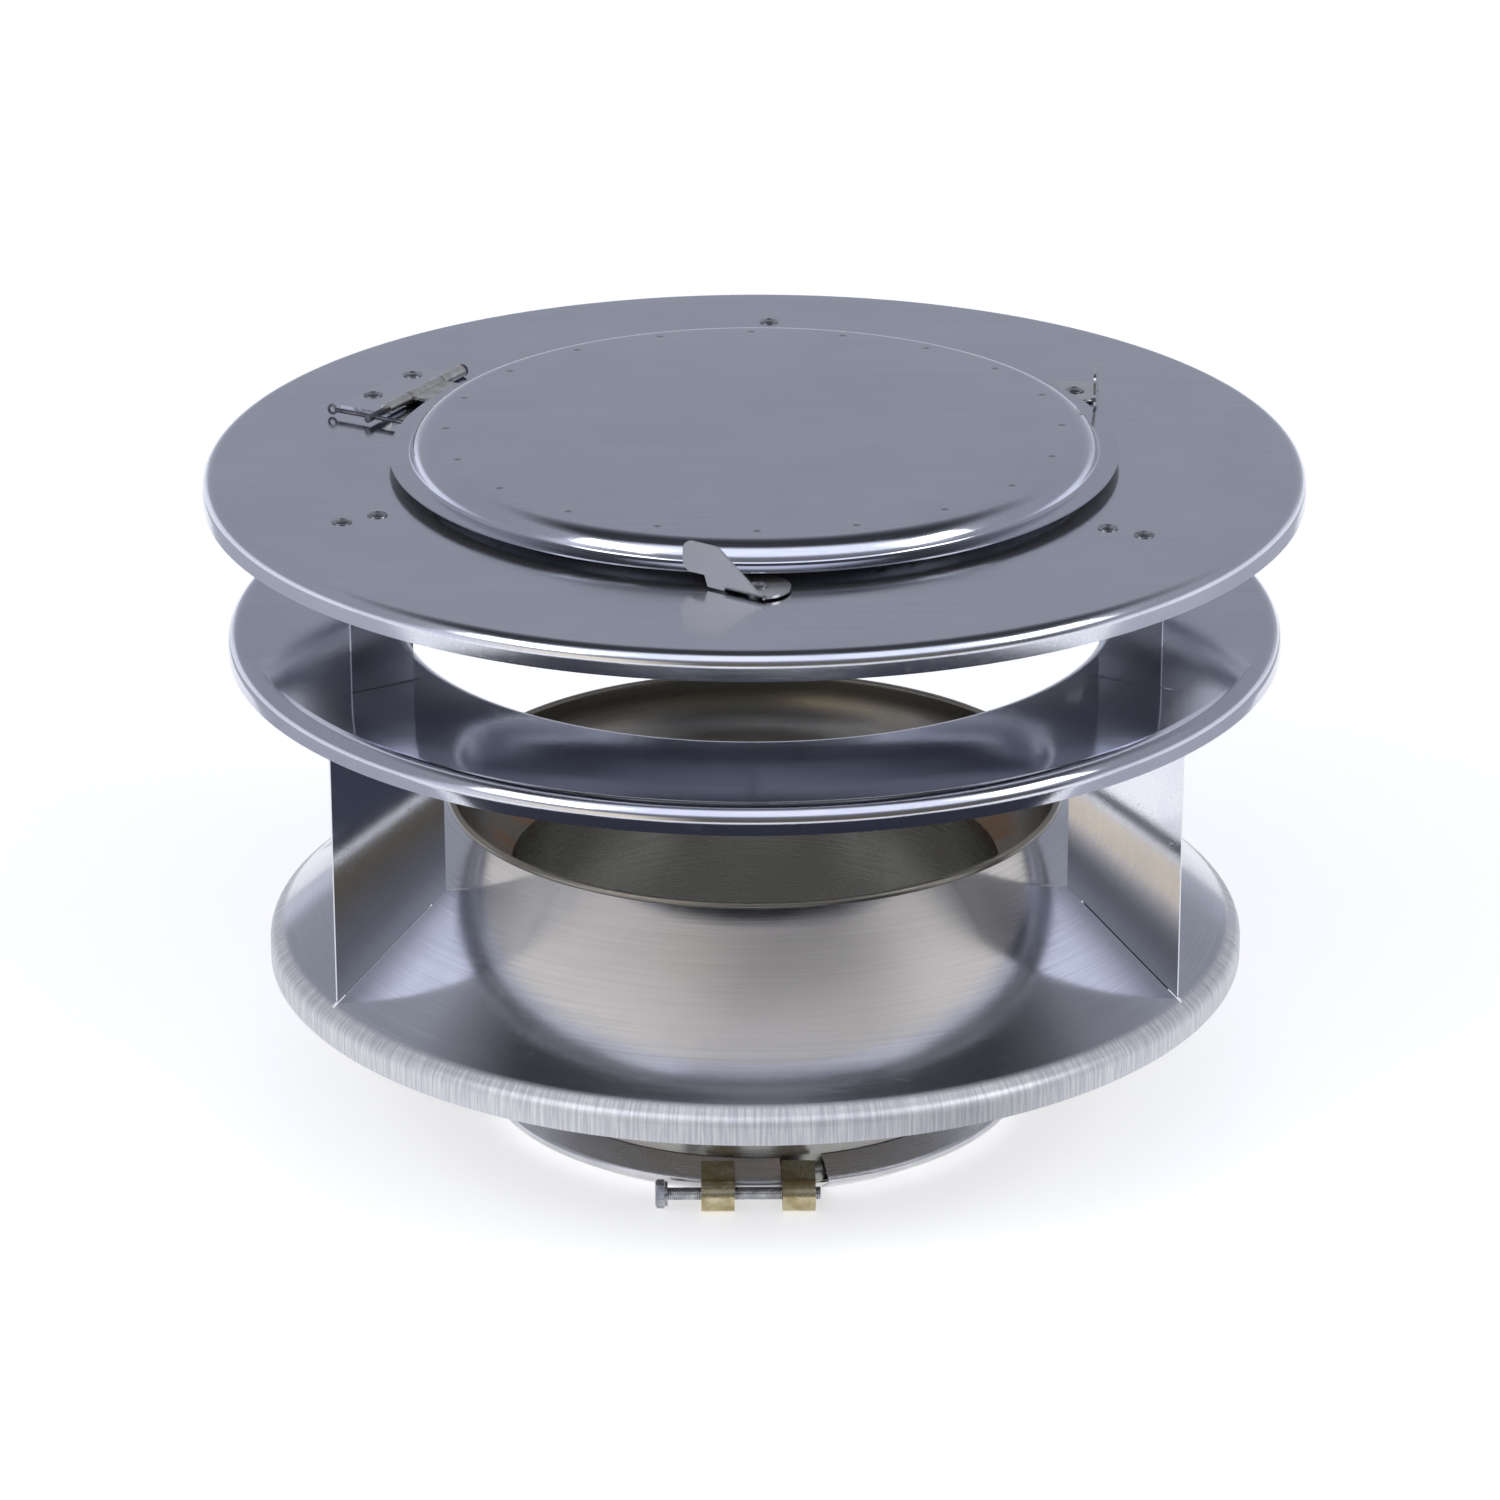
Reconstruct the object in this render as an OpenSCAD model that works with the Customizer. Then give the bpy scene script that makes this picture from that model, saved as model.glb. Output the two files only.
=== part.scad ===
// Chimney rain cap in stainless sheet: a bowl-shaped throat inside a conical skirt, a middle ring and
// a top plate on three radial struts, and a hinged sweeping lid held by two turn latches.
// Millimetres, +Z up. The origin is the centre of the plane that the clamp band stands on.

/* [Flue and throat] */
// Inner diameter of the socket that takes the flue pipe
flue_d = 200; // [150:1:230]
// Height of the weld between socket pipe and throat
socket_h = 102.6; // [80:0.1:130]
// How far the mouth reaches beyond the socket, on each side
mouth_flare = 24; // [18:0.5:25]
// Height of the throat, from its weld to the top of the mouth
throat_h = 33.4; // [26:0.1:45]
// Slope of the throat's floor where it meets the pipe, in degrees
bowl_slope = 16; // [10:1:20]
// Radius of the rolled bead round the mouth
mouth_bead_r = 1.5; // [1.2:0.1:3]
// Gap between the foot of the pipe and the plane that the cap stands on
pipe_foot = 2; // [1:0.5:3]
// Radius of the rolled bead near the foot of the pipe
pipe_bead_r = 4.4; // [3.5:0.1:5.4]

/* [Skirt] */
// Fall of the conical skirt, in degrees
skirt_slope = 37.6; // [32:0.1:42]
// How far the skirt reaches beyond the struts
skirt_margin = 6.5; // [5:0.5:12]
// Length of the straight lip below the skirt's rounded edge
skirt_lip = 6.9; // [4:0.1:10]

/* [Middle ring] */
// Clear height from the mouth to the top of the middle ring
window_h = 75.5; // [60:0.5:90]
// How much wider the ring's hole is than the mouth, on each side
hole_step = 16.5; // [12:0.5:24]
// How far the ring reaches beyond the skirt
ring_step = 13; // [8:0.5:20]
// Radius of the ring's turned-down inner edge
hole_lip_r = 5.5; // [3:0.5:7]
// Radius of the ring's rounded outer rim
ring_rim_r = 7; // [4:0.5:8]

/* [Top plate] */
// Height from the middle ring to the top plate, top face to top face
vent_h = 64.5; // [50:0.5:80]
// How far the top plate reaches beyond the middle ring
plate_step = 8; // [0:0.5:16]
// Radius of the rounded outer rims of top plate and skirt
rim_r = 6; // [4:0.5:8]
// Total height of the rims of top plate and middle ring
rim_h = 11; // [9:0.5:16]

/* [Sheet] */
// Sheet of the plates, the skirt, the throat and the pipe
sheet = 0.8; // [0.6:0.1:1]
// Sheet of the lid
lid_sheet = 0.6; // [0.5:0.1:0.8]
// Sheet of the struts
strut_sheet = 1; // [0.8:0.1:1.5]

/* [Struts] */
// Number of struts
strut_count = 3; // [3:1:3]
// Distance from the ring's hole to the struts
strut_inset = 2.5; // [2:0.5:5]
// Width of the shoulder on the inner side, which carries the middle ring
shoulder_in = 12; // [9:0.5:18]
// Width of the shoulder on the outer side
shoulder_out = 10.5; // [8:0.5:16]
// Width of the tongue that passes through the middle ring
tongue_w = 27; // [24:0.5:34]
// Width of the tab that the rivets hold under the top plate
tab_w = 24; // [22:0.5:30]
// Place of the rivets along each tab, back, left and right strut
tab_rivet_at = [8, 16, 6.5]; // [6:0.5:18]
// Distance between the two rivets of a strut
rivet_pitch = 15.5; // [12:0.5:18]
// Sweep of the foot under the skirt, in degrees
foot_sweep = 8; // [6:0.5:10]

/* [Lid] */
// Gap between the edge of the lid and the struts' tongues
lid_gap = 9.5; // [9:0.5:14]
// Height of the lid's dome above its flange
dome_h = 8.2; // [7:0.1:10]
// Radius of the dome's rounded shoulder
dome_r = 10; // [9:0.5:12]
// Radius of the hollow at the foot of the dome
foot_r = 1.5; // [1:0.1:2.5]
// Width of the lid's flat flange
flange_w = 7; // [6:0.5:9]
// Gap under the lid's flange
flange_gap = 4; // [3.8:0.1:4.4]
// Height of the hoop inside the lid
hoop_h = 7.7; // [5:0.1:8]

/* [Hinge] */
// Length of the barrel
barrel_w = 57; // [45:1:70]
// Length of the lid's knuckle
knuckle_w = 24; // [16:1:30]
// Radius of the hinge pin
pin_r = 1.5; // [1.2:0.1:1.8]
// Sheet of the two hinge leaves
leaf_t = 1.2; // [1:0.1:1.3]
// Length of the plate's leaf, from the barrel outwards
leaf_l = 22; // [21:0.5:26]
// Places of the two rivets along the plate's leaf
leaf_rivet_y = [-19, 11]; // [-20:1:20]
// Distance of the split pin from the end of the barrel
split_gap = 10; // [5:0.5:14]
// Length of the split pin
split_l = 32; // [26:1:36]

/* [Latches] */
// Distance of the latch rivets from the edge of the lid
latch_gap = 7.5; // [7:0.5:9]
// Radius of the latch's round base
latch_r = 12.5; // [11:0.5:13]
// Distance of the upright blade from the rivet
blade_off = 9; // [8.5:0.5:10]
// Height of the blade above the top plate
blade_h = 17.5; // [15:0.5:22]
// How far the blade's nose reaches past the rivet
nose_reach = 28; // [26:0.5:30]
// How far the blade's heel reaches past the rivet, towards the nose
heel_l = 16.5; // [14:0.5:18]
// How far the blade's tail reaches past the rivet
tail_l = 9.5; // [9:0.5:12]
// Height of the nose above the top plate
nose_h = 5.3; // [5.2:0.1:6]
// Sheet of the latches
latch_t = 1; // [0.8:0.1:1.2]

/* [Clamp] */
// How far the band's nose stands out from the pipe
band_depth = 10.5; // [9:0.5:13]
// Radius of the band's rounded nose
nose_r = 2.5; // [2:0.1:3.5]
// Slope of the band's two legs, in degrees
band_slope = 31; // [26:1:34]
// Sheet of the band
band_t = 1; // [0.8:0.1:1.2]
// Gap between the two ends of the band
band_gap = 19; // [14:1:26]
// Width of each ear
ear_w = 13.2; // [10:0.1:18]
// Outer radius of each ear
ear_r = 7.1; // [6.5:0.1:7.5]
// Radius of the clamp bolt
bolt_r = 2.5; // [2:0.1:3]
// Width across flats of the bolt's head
bolt_af = 10; // [8:0.5:10]
// Height of the bolt's head
bolt_head = 3.6; // [3:0.1:5]
// Distance from the ear to the washer: how far the bolt can still be screwed in
bolt_travel = 13.4; // [13:0.1:18]

/* [Hidden] */
$fn = 96;

// Directions round the axis: struts, hinge and latches share one three-part division
strut_az = [90, 210, 330];
hinge_az = 150;
latch_az = [270, 30];
clamp_az = 270;

// Clearances
seat = 0.05;        // between pieces that are welded or riveted together
fit = 0.05;         // round a pin, a rivet or a bolt in its own hole
slide_gap = 0.1;    // between flat faces that turn on each other
lid_rest = 0.3;     // between the lid and the collar that it rests on

// Radii, from the flue outwards
flue_r = flue_d / 2;
pipe_r = flue_r + sheet;
mouth_r = flue_r + mouth_flare;
hole_r = mouth_r + hole_step;
strut_in = hole_r + strut_inset;
tongue_in = strut_in + shoulder_in;
tongue_out = tongue_in + tongue_w;
strut_out = tongue_out + shoulder_out;
skirt_r = strut_out + skirt_margin;
ring_r = skirt_r + ring_step;
plate_r = ring_r + plate_step;
lid_r = tongue_in - lid_gap;

// Heights
mouth_z = socket_h + throat_h;
ring_z = mouth_z + window_h;
plate_z = ring_z + vent_h;
flange_z = plate_z + flange_gap + lid_sheet;
lid_z = flange_z + dome_h;
skirt_fall = tan(skirt_slope);
function skirt_z(r) = mouth_z - mouth_bead_r - (r - mouth_r) * skirt_fall;
// Vertical distance that one millimetre across the skirt's sheet takes up
skirt_v = 1 / cos(skirt_slope);

// Slits in ring and skirt, longer outwards than what passes through them
slit_side = 0.4;
slit_in = 1;
ring_slit_out = 4.5;
foot_inset = 7;
foot_out = strut_out - 4.5;
foot_in = strut_in + foot_inset;
skirt_slit_out = strut_out + 2;
skirt_lap = sheet + 2 * seat;
tab_bend = 2;
tab_z = plate_z - sheet - seat;
rivet_mid = (tongue_in + tongue_out) / 2;

// Blind rivets: head, shank and set tail
rivet_r = 2;
rivet_head_r = 4;
rivet_head_h = 1.3;
rivet_tail_r = 3.2;
rivet_tail_h = 3;
dimple_r = 1.1;
dimple_h = 0.7;

// Lid and collar: the fillet at the dome's foot touches shoulder and flange
dome_z = lid_z - dome_r;
fillet_z = flange_z + foot_r;
fillet_rise = fillet_z - dome_z;
fillet_run = sqrt(pow(dome_r + foot_r, 2) - pow(fillet_rise, 2));
fillet_a = atan2(fillet_rise, fillet_run);
flange_in = lid_r - flange_w;
dome_in = flange_in - fillet_run;
collar_bend = 3;
collar_r = dome_in - 6.5;
collar_top = lid_z - lid_sheet - lid_rest;
hoop_in = collar_r + 1.5;
hoop_top = lid_z - lid_sheet - seat;

// Hinge
hinge_x = lid_r + 10.5;
barrel_r = pin_r + fit + leaf_t;
hinge_z = plate_z + seat + barrel_r;
knuckle_gap = 0.4;
leaf_rivet_x = hinge_x + 17.5;
pin_tip = 4;
pin_head_r = 2.6;
pin_head_h = 2;
split_r = 0.9;
split_y = barrel_w / 2 + split_gap;
split_eye_r = 2.2;
split_out = 17.5;
lid_leaf_top = flange_z - lid_sheet - seat;
lid_leaf_in = flange_in + 0.8;

// Latches: at rest the nose lies just outside the lid, so that the lid can open
latch_x = lid_r + latch_gap;
latch_washer_t = 0.8;
latch_washer_r = 5;
latch_z = plate_z + latch_washer_t + slide_gap;
latch_free = 0.8;
blade_in = blade_off - latch_t / 2;
nose_l = sqrt(pow(nose_reach, 2) + pow(blade_in, 2));
nose_orbit = lid_r + latch_free;
latch_rest = acos((pow(latch_x, 2) + pow(nose_l, 2) - pow(nose_orbit, 2)) / (2 * latch_x * nose_l))
             - atan2(blade_in, nose_reach);
latch_bend = 1;
nose_round = 4;
shoulder_l = 12;
shoulder_r = 5;

// Clamp band, ears and bolt: the height of the band's legs sets its middle
band_foot = pipe_r + band_t * sin(band_slope) + seat;
nose_x = pipe_r + band_depth;
band_c = nose_x - nose_r;
leg_n = [sin(band_slope), cos(band_slope)];
leg_top = [band_c, 0] + nose_r * leg_n;
leg_l = (leg_top[0] - band_foot) / cos(band_slope);
leg_end = leg_top + leg_l * [-cos(band_slope), sin(band_slope)];
clamp_z = leg_end[1];
bolt_x = nose_x + 6.7;
ear_t = 1.2;
bush_r = ear_r - ear_t - seat;
ear_at = band_gap / 2;
washer_t = 1.2;
washer_r = 5;
washer_y = ear_at + ear_w + bolt_travel;
bolt_end = ear_at + ear_w + 2;

// Part of a ring in the profile plane, from angle a0 to angle a1, less than half a turn
module arc_band(c, r, t, a0, a1) {
    mid = (a0 + a1) / 2;
    reach = r / cos((a1 - a0) / 2) + 1;
    far = 1.2 * (r + 2) / cos((a1 - a0) / 4);
    translate(c) intersection() {
        difference() {
            circle(r);
            circle(r - t);
        }
        polygon([[0, 0], reach * [cos(a0), sin(a0)], far * [cos(mid), sin(mid)], reach * [cos(a1), sin(a1)]]);
    }
}

// Box in the profile plane between two corners
module span(low, high) translate(low) square(high - low);

// Turns each shape of a profile on its own and joins the turned shapes
module turned(angle = 360) for (i = [0:$children - 1]) rotate_extrude(angle = angle) children(i);

// Points along an arc
function arc_points(c, r, a0, a1, n = 6) =
    [for (i = [0:n]) c + r * [cos(a0 + (a1 - a0) * i / n), sin(a0 + (a1 - a0) * i / n)]];

// Rounded outer rim of a flat plate whose top face is at z
module plate_rim(r, z, bend, drop) turned() {
    arc_band([r - bend, z - bend], bend, sheet, 0, 90);
    span([r - sheet, z - drop], [r, z - bend]);
}

// Puts a shape at a direction round the axis, with its X axis pointing outwards
module at(az) rotate([0, 0, az]) children();

// Blind rivet with its head's seat at z = 0, through a stack of the given thickness
module rivet(grip) {
    rotate_extrude() difference() {
        union() {
            span([0, 0], [rivet_head_r, 0.3]);
            intersection() {
                translate([0, rivet_head_h - 7]) circle(7);
                span([0, 0.3], [rivet_head_r, rivet_head_h]);
            }
            span([0, -grip - rivet_tail_h], [rivet_r, 0]);
            span([0, -grip - rivet_tail_h], [rivet_tail_r, -grip]);
        }
        span([0, rivet_head_h - dimple_h], [dimple_r, rivet_head_h + 1]);
    }
}

// Socket pipe, with the rolled bead that the clamp band closes over
module base_pipe() color("gainsboro") rotate_extrude() {
    high = clamp_z + pipe_bead_r;
    low = clamp_z - pipe_bead_r;
    span([flue_r, high - sheet / 2], [pipe_r, socket_h - sheet * cos(bowl_slope) - seat]);
    arc_band([flue_r + sheet / 2, clamp_z], pipe_bead_r, sheet, -88, 88);
    span([flue_r, pipe_foot], [pipe_r, low + sheet / 2]);
}

// Bowl-shaped throat: upright under the mouth's bead, then an arc that turns in to the pipe
bowl_x = mouth_flare - mouth_bead_r;
bowl_r = bowl_x / (1 - sin(bowl_slope));
bowl_c = [flue_r + bowl_x - bowl_r, socket_h + bowl_r * cos(bowl_slope)];
module throat() color("silver") turned() {
    arc_band(bowl_c, bowl_r + sheet, sheet, bowl_slope - 90, 0);
    span([flue_r + bowl_x, bowl_c[1]], [flue_r + bowl_x + sheet, mouth_z - mouth_bead_r]);
    translate([mouth_r, mouth_z - mouth_bead_r]) circle(mouth_bead_r);
}

// Conical skirt with its rounded edge, slit for the struts
edge_c = [skirt_r - rim_r, skirt_z(skirt_r - rim_r + rim_r * sin(skirt_slope)) - rim_r * cos(skirt_slope)];
module skirt_body() {
    slope_n = [sin(skirt_slope), cos(skirt_slope)];
    top = [mouth_r, skirt_z(mouth_r)];
    low = edge_c + rim_r * slope_n;
    turned() {
        difference() {
            polygon([top, low, low - sheet * slope_n, top - sheet * slope_n]);
            translate(top) circle(mouth_bead_r + seat);
            span(top - [flue_r, 2 * mouth_bead_r], top + [0, mouth_bead_r]);
        }
        arc_band(edge_c, rim_r, sheet, 0, 90 - skirt_slope);
        span([skirt_r - sheet, edge_c[1] - skirt_lip], [skirt_r, edge_c[1]]);
    }
}
module skirt() color("slategray") difference() {
    slit_w = strut_sheet + 2 * slit_side;
    skirt_body();
    for (az = strut_az) at(az) translate([foot_in - slit_in, -slit_w / 2, skirt_z(skirt_r)])
        cube([skirt_slit_out - foot_in + slit_in, slit_w, skirt_z(foot_in) - skirt_z(skirt_r)]);
}

// Middle ring with turned-down inner edge, rounded rim and a slit for each tongue
module middle_ring() color("lightslategray") difference() {
    union() {
        turned() {
            arc_band([hole_r + hole_lip_r, ring_z - hole_lip_r], hole_lip_r, sheet, 90, 180);
            span([hole_r + hole_lip_r, ring_z - sheet], [ring_r - ring_rim_r, ring_z]);
        }
        plate_rim(ring_r, ring_z, ring_rim_r, rim_h);
    }
    for (az = strut_az) at(az)
        translate([tongue_in - slit_in, -strut_sheet / 2 - slit_side, ring_z - 2 * sheet])
            cube([tongue_w + slit_in + ring_slit_out, strut_sheet + 2 * slit_side, 3 * sheet]);
}

// Top plate with the turned-up collar of the lid opening and the rivet holes
module top_plate() color("lightslategray") difference() {
    union() {
        turned() {
            span([collar_r - sheet, plate_z + collar_bend], [collar_r, collar_top]);
            arc_band([collar_r + collar_bend, plate_z + collar_bend], collar_bend + sheet, sheet, 180, 270);
            span([collar_r + collar_bend, plate_z - sheet], [plate_r - rim_r, plate_z]);
        }
        plate_rim(plate_r, plate_z, rim_r, rim_h);
    }
    strut_rivet_places() rivet_hole();
    leaf_rivet_places() rivet_hole();
    for (az = latch_az) at(az) translate([latch_x, 0, plate_z]) rivet_hole();
}
module rivet_hole() cylinder(r = rivet_r + fit, h = 6 * sheet, center = true);
module strut_rivet_places() {
    for (i = [0:strut_count - 1], side = [-1, 1]) at(strut_az[i])
        translate([rivet_mid + side * rivet_pitch / 2, -tab_rivet_at[i], plate_z]) children();
}
module leaf_rivet_places() {
    for (y = leaf_rivet_y) at(hinge_az) translate([leaf_rivet_x, y, plate_z]) children();
}

// Strut: a plate that stands on the skirt, carries the ring on its shoulders and ends in a
// tab under the top plate; its foot passes through the skirt and is bent along its underside
module strut(i) color("aliceblue") at(strut_az[i]) {
    ring_low = ring_z - sheet - seat;
    neck = tab_z - tab_bend;
    rotate([90, 0, 0]) translate([0, 0, -strut_sheet / 2]) linear_extrude(strut_sheet) {
        polygon([[strut_in, skirt_z(strut_in) + seat], [strut_out, skirt_z(strut_out) + seat],
                 [strut_out, ring_low], [tongue_out, ring_low], [tongue_out, neck], [tongue_in, neck],
                 [tongue_in, ring_low], [hole_r + hole_lip_r + 1, ring_low],
                 [strut_in, ring_z - hole_lip_r - 0.5]]);
        polygon([[foot_in, skirt_z(foot_in) + 2 * seat], [foot_out, skirt_z(foot_out) + 2 * seat],
                 [foot_out, skirt_z(foot_out) - (skirt_lap + strut_sheet) * skirt_v],
                 [foot_in, skirt_z(foot_in) - (skirt_lap + strut_sheet) * skirt_v]]);
    }
    rotate([0, 0, -foot_sweep]) rotate_extrude(angle = foot_sweep)
        polygon([for (p = [[foot_in, 0], [foot_out, 0], [foot_out, 1], [foot_in, 1]])
                 [p[0], skirt_z(p[0]) - (skirt_lap + p[1] * strut_sheet) * skirt_v]]);
    difference() {
        translate([tongue_in, 0, 0]) rotate([90, 0, 90]) linear_extrude(tongue_w) {
            arc_band([strut_sheet / 2 - tab_bend, neck], tab_bend, strut_sheet, 0, 90);
            span([-tab_w, tab_z - strut_sheet], [strut_sheet / 2 - tab_bend, tab_z]);
        }
        for (side = [-1, 1])
            translate([rivet_mid + side * rivet_pitch / 2, -tab_rivet_at[i], tab_z]) rivet_hole();
    }
}

module strut_rivets() color("darkgray")
    strut_rivet_places() translate([0, 0, seat]) rivet(2 * seat + sheet + seat + strut_sheet);

// Plate's hinge leaf: two end knuckles rolled from the flat leaf
module plate_leaf() color("silver") at(hinge_az) difference() {
    union() {
        for (side = [-1, 1]) mirror([0, side < 0 ? 1 : 0, 0])
            translate([hinge_x, knuckle_w / 2 + knuckle_gap, hinge_z]) rotate([-90, 0, 0])
                cylinder(r = barrel_r, h = (barrel_w - knuckle_w) / 2 - knuckle_gap);
        translate([hinge_x, -barrel_w / 2, plate_z + seat]) cube([leaf_l, barrel_w, leaf_t]);
    }
    translate([hinge_x, 0, hinge_z]) rotate([90, 0, 0])
        cylinder(r = pin_r + fit, h = barrel_w + 2, center = true);
    translate([hinge_x - barrel_r - 1, -knuckle_w / 2 - knuckle_gap, plate_z])
        cube([2 * barrel_r + 1.6, knuckle_w + 2 * knuckle_gap, 2 * barrel_r + 1]);
    for (y = leaf_rivet_y) translate([leaf_rivet_x, y, plate_z]) rivet_hole();
}
module leaf_rivets() color("darkgray")
    leaf_rivet_places() translate([0, 0, leaf_t + 2 * seat]) rivet(leaf_t + 3 * seat + sheet);

// Hinge pin with a head at one end and a cross hole for the split pin at the other
module hinge_pin() color("dimgray") at(hinge_az) translate([hinge_x, 0, hinge_z]) difference() {
    rotate([-90, 0, 0]) {
        translate([0, 0, -barrel_w / 2 - seat])
            cylinder(r = pin_r, h = barrel_w / 2 + split_y + pin_tip + seat);
        translate([0, 0, -barrel_w / 2 - seat - pin_head_h]) cylinder(r = pin_head_r, h = pin_head_h);
    }
    translate([0, split_y, 0]) rotate([0, 90, 0]) cylinder(r = split_r + fit, h = 4 * pin_r, center = true);
}

// Split pin: two half-round legs side by side, and an eye
module split_pin() color("dimgray") at(hinge_az) translate([hinge_x, split_y, hinge_z]) {
    difference() {
        translate([split_out - split_l, 0, 0])
            rotate([0, 90, 0]) cylinder(r = split_r, h = split_l);
        translate([split_out - split_l - 1, -1, -0.06]) cube([split_l - 6, 2, 0.12]);
    }
    translate([split_out + split_eye_r - 0.2, 0, 0]) rotate([90, 0, 0]) rotate_extrude()
        translate([split_eye_r - split_r / 2, 0]) circle(split_r / 2 + 0.1);
}

// Lid's hinge leaf: the middle knuckle and a tongue welded under the lid's flange
module lid_leaf() color("silver") at(hinge_az) difference() {
    union() {
        translate([hinge_x, 0, hinge_z])
            rotate([90, 0, 0]) cylinder(r = barrel_r, h = knuckle_w, center = true);
        translate([lid_leaf_in, -knuckle_w / 2, lid_leaf_top - leaf_t])
            cube([hinge_x - lid_leaf_in, knuckle_w, leaf_t]);
    }
    translate([hinge_x, 0, hinge_z])
        rotate([90, 0, 0]) cylinder(r = pin_r + fit, h = knuckle_w + 2, center = true);
}

// Lid: one pressed sheet with a flat top, a rounded shoulder and a flat flange
module lid_dome() color("lightslategray") turned() {
    span([0, lid_z - lid_sheet], [dome_in, lid_z]);
    arc_band([dome_in, dome_z], dome_r, lid_sheet, fillet_a, 90);
    arc_band([flange_in, fillet_z], foot_r + lid_sheet, lid_sheet, 180 + fillet_a, 270);
    span([flange_in, flange_z - lid_sheet], [lid_r, flange_z]);
}

// Hoop welded inside the lid, which centres it over the collar
module lid_hoop() color("silver") rotate_extrude()
    span([hoop_in, hoop_top - hoop_h], [hoop_in + lid_sheet, hoop_top]);

// Turn latch: round base on the rivet and an upright blade whose nose holds the lid down
module latch_blade() {
    foot = latch_z - plate_z;
    slant = atan2(blade_h - foot, tail_l + shoulder_l);
    peak = [-shoulder_l - shoulder_r * tan(slant / 2), blade_h - shoulder_r];
    polygon(concat(
        [[-heel_l, foot], [tail_l, foot]],
        arc_points(peak, shoulder_r, 90 - slant, 90),
        arc_points([-nose_reach + nose_round, blade_h - nose_round], nose_round, 90, 180),
        arc_points([-nose_reach + nose_round, nose_h + nose_round], nose_round, 180, 270),
        [[-heel_l - 1.5, nose_h]]));
}
module latch(az) color("lightsteelblue") at(az) translate([latch_x, 0, plate_z]) rotate([0, 0, latch_rest]) {
    foot = latch_z - plate_z;
    fold = blade_off + latch_t / 2;
    difference() {
        union() {
            intersection() {
                translate([0, 0, foot]) cylinder(r = latch_r, h = latch_t);
                translate([-latch_r, latch_bend + latch_t - fold, foot])
                    cube([2 * latch_r, 2 * latch_r, latch_t]);
            }
            translate([-latch_r * 0.7, 0, 0]) rotate([90, 0, 90]) linear_extrude(latch_r * 1.4)
                arc_band([latch_bend + latch_t - fold, foot + latch_bend + latch_t],
                         latch_bend + latch_t, latch_t, 180, 270);
            difference() {
                translate([0, -blade_in, 0]) rotate([90, 0, 0]) linear_extrude(latch_t) latch_blade();
                translate([-latch_r * 0.7, -fold - 1, foot - 1])
                    cube([latch_r * 1.4, latch_t + 2, latch_bend + latch_t + 1]);
            }
        }
        translate([0, 0, foot]) cylinder(r = rivet_r + fit, h = 4 * latch_t, center = true);
    }
}
module latch_rivets() color("darkgray") for (az = latch_az) at(az)
    translate([latch_x, 0, latch_z + latch_t + slide_gap])
        rivet(latch_t + 2 * slide_gap + latch_washer_t + sheet + seat);
module latch_washers() color("darkgray") for (az = latch_az) at(az)
    translate([latch_x, 0, plate_z + seat / 2]) difference() {
        cylinder(r = latch_washer_r, h = latch_washer_t - seat / 2);
        cylinder(r = rivet_r + fit, h = 3 * latch_washer_t, center = true);
    }

// Clamp band: a V of sheet, open where the ears are
module band_leg() polygon([leg_top, leg_end, leg_end - band_t * leg_n, leg_top - band_t * leg_n]);
// What the ears are cut back from: the space inside the band, up to its outer face
module band_envelope() translate([0, clamp_z]) {
    translate([band_c, 0]) circle(nose_r + seat);
    foot = leg_end + seat * leg_n;
    tip = leg_top + seat * leg_n;
    polygon([tip, foot, leg_end + [-2, 1], [leg_end[0] - 2, -leg_end[1] - 1], [foot[0], -foot[1]],
             [tip[0], -tip[1]]]);
}
gap_a = asin(ear_at / nose_x);
module clamp_band() color("silver") translate([0, 0, clamp_z]) at(clamp_az + gap_a) turned(360 - 2 * gap_a) {
    band_leg();
    mirror([0, 1]) band_leg();
    arc_band([band_c, 0], nose_r, band_t, band_slope - 90, 90 - band_slope);
}

// Ear: a strap that runs from one leg of the band round the bolt to the other leg
module ear(side) color("darkkhaki") at(clamp_az) difference() {
    translate([0, side * (ear_at + ear_w / 2), clamp_z]) rotate([90, 0, 0])
        linear_extrude(ear_w, center = true) {
            arc_band([bolt_x, 0], ear_r, ear_t, -89, 0);
            arc_band([bolt_x, 0], ear_r, ear_t, 0, 89);
            for (low = [-ear_r, ear_r - ear_t]) span([pipe_r + 2, low], [bolt_x + 0.3, low + ear_t]);
        }
    rotate_extrude() band_envelope();
}
// Bushes inside the ears, plain on the head's side and threaded on the other
module bush(side, hole) color("gray") at(clamp_az) translate([bolt_x, side * (ear_at + ear_w / 2), clamp_z])
    rotate([90, 0, 0]) difference() {
        cylinder(r = bush_r, h = ear_w, center = true);
        cylinder(r = hole, h = ear_w + 2, center = true);
    }
module bolt_washer() color("gray") at(clamp_az) translate([bolt_x, -washer_y, clamp_z])
    rotate([90, 0, 0]) difference() {
        cylinder(r = washer_r, h = washer_t);
        translate([0, 0, -1]) cylinder(r = bolt_r + fit, h = washer_t + 2);
    }
module clamp_bolt() color("lightgray") at(clamp_az) translate([bolt_x, 0, clamp_z]) rotate([-90, 0, 0]) {
    head_at = -washer_y - washer_t - slide_gap;
    translate([0, 0, head_at]) cylinder(r = bolt_r, h = bolt_end - head_at);
    translate([0, 0, head_at - bolt_head]) intersection() {
        cylinder(r = bolt_af / sqrt(3), h = bolt_head, $fn = 6);
        cylinder(r1 = bolt_af / 2 - 0.2, r2 = bolt_af / 2 + bolt_head * 1.2, h = bolt_head);
    }
}

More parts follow.
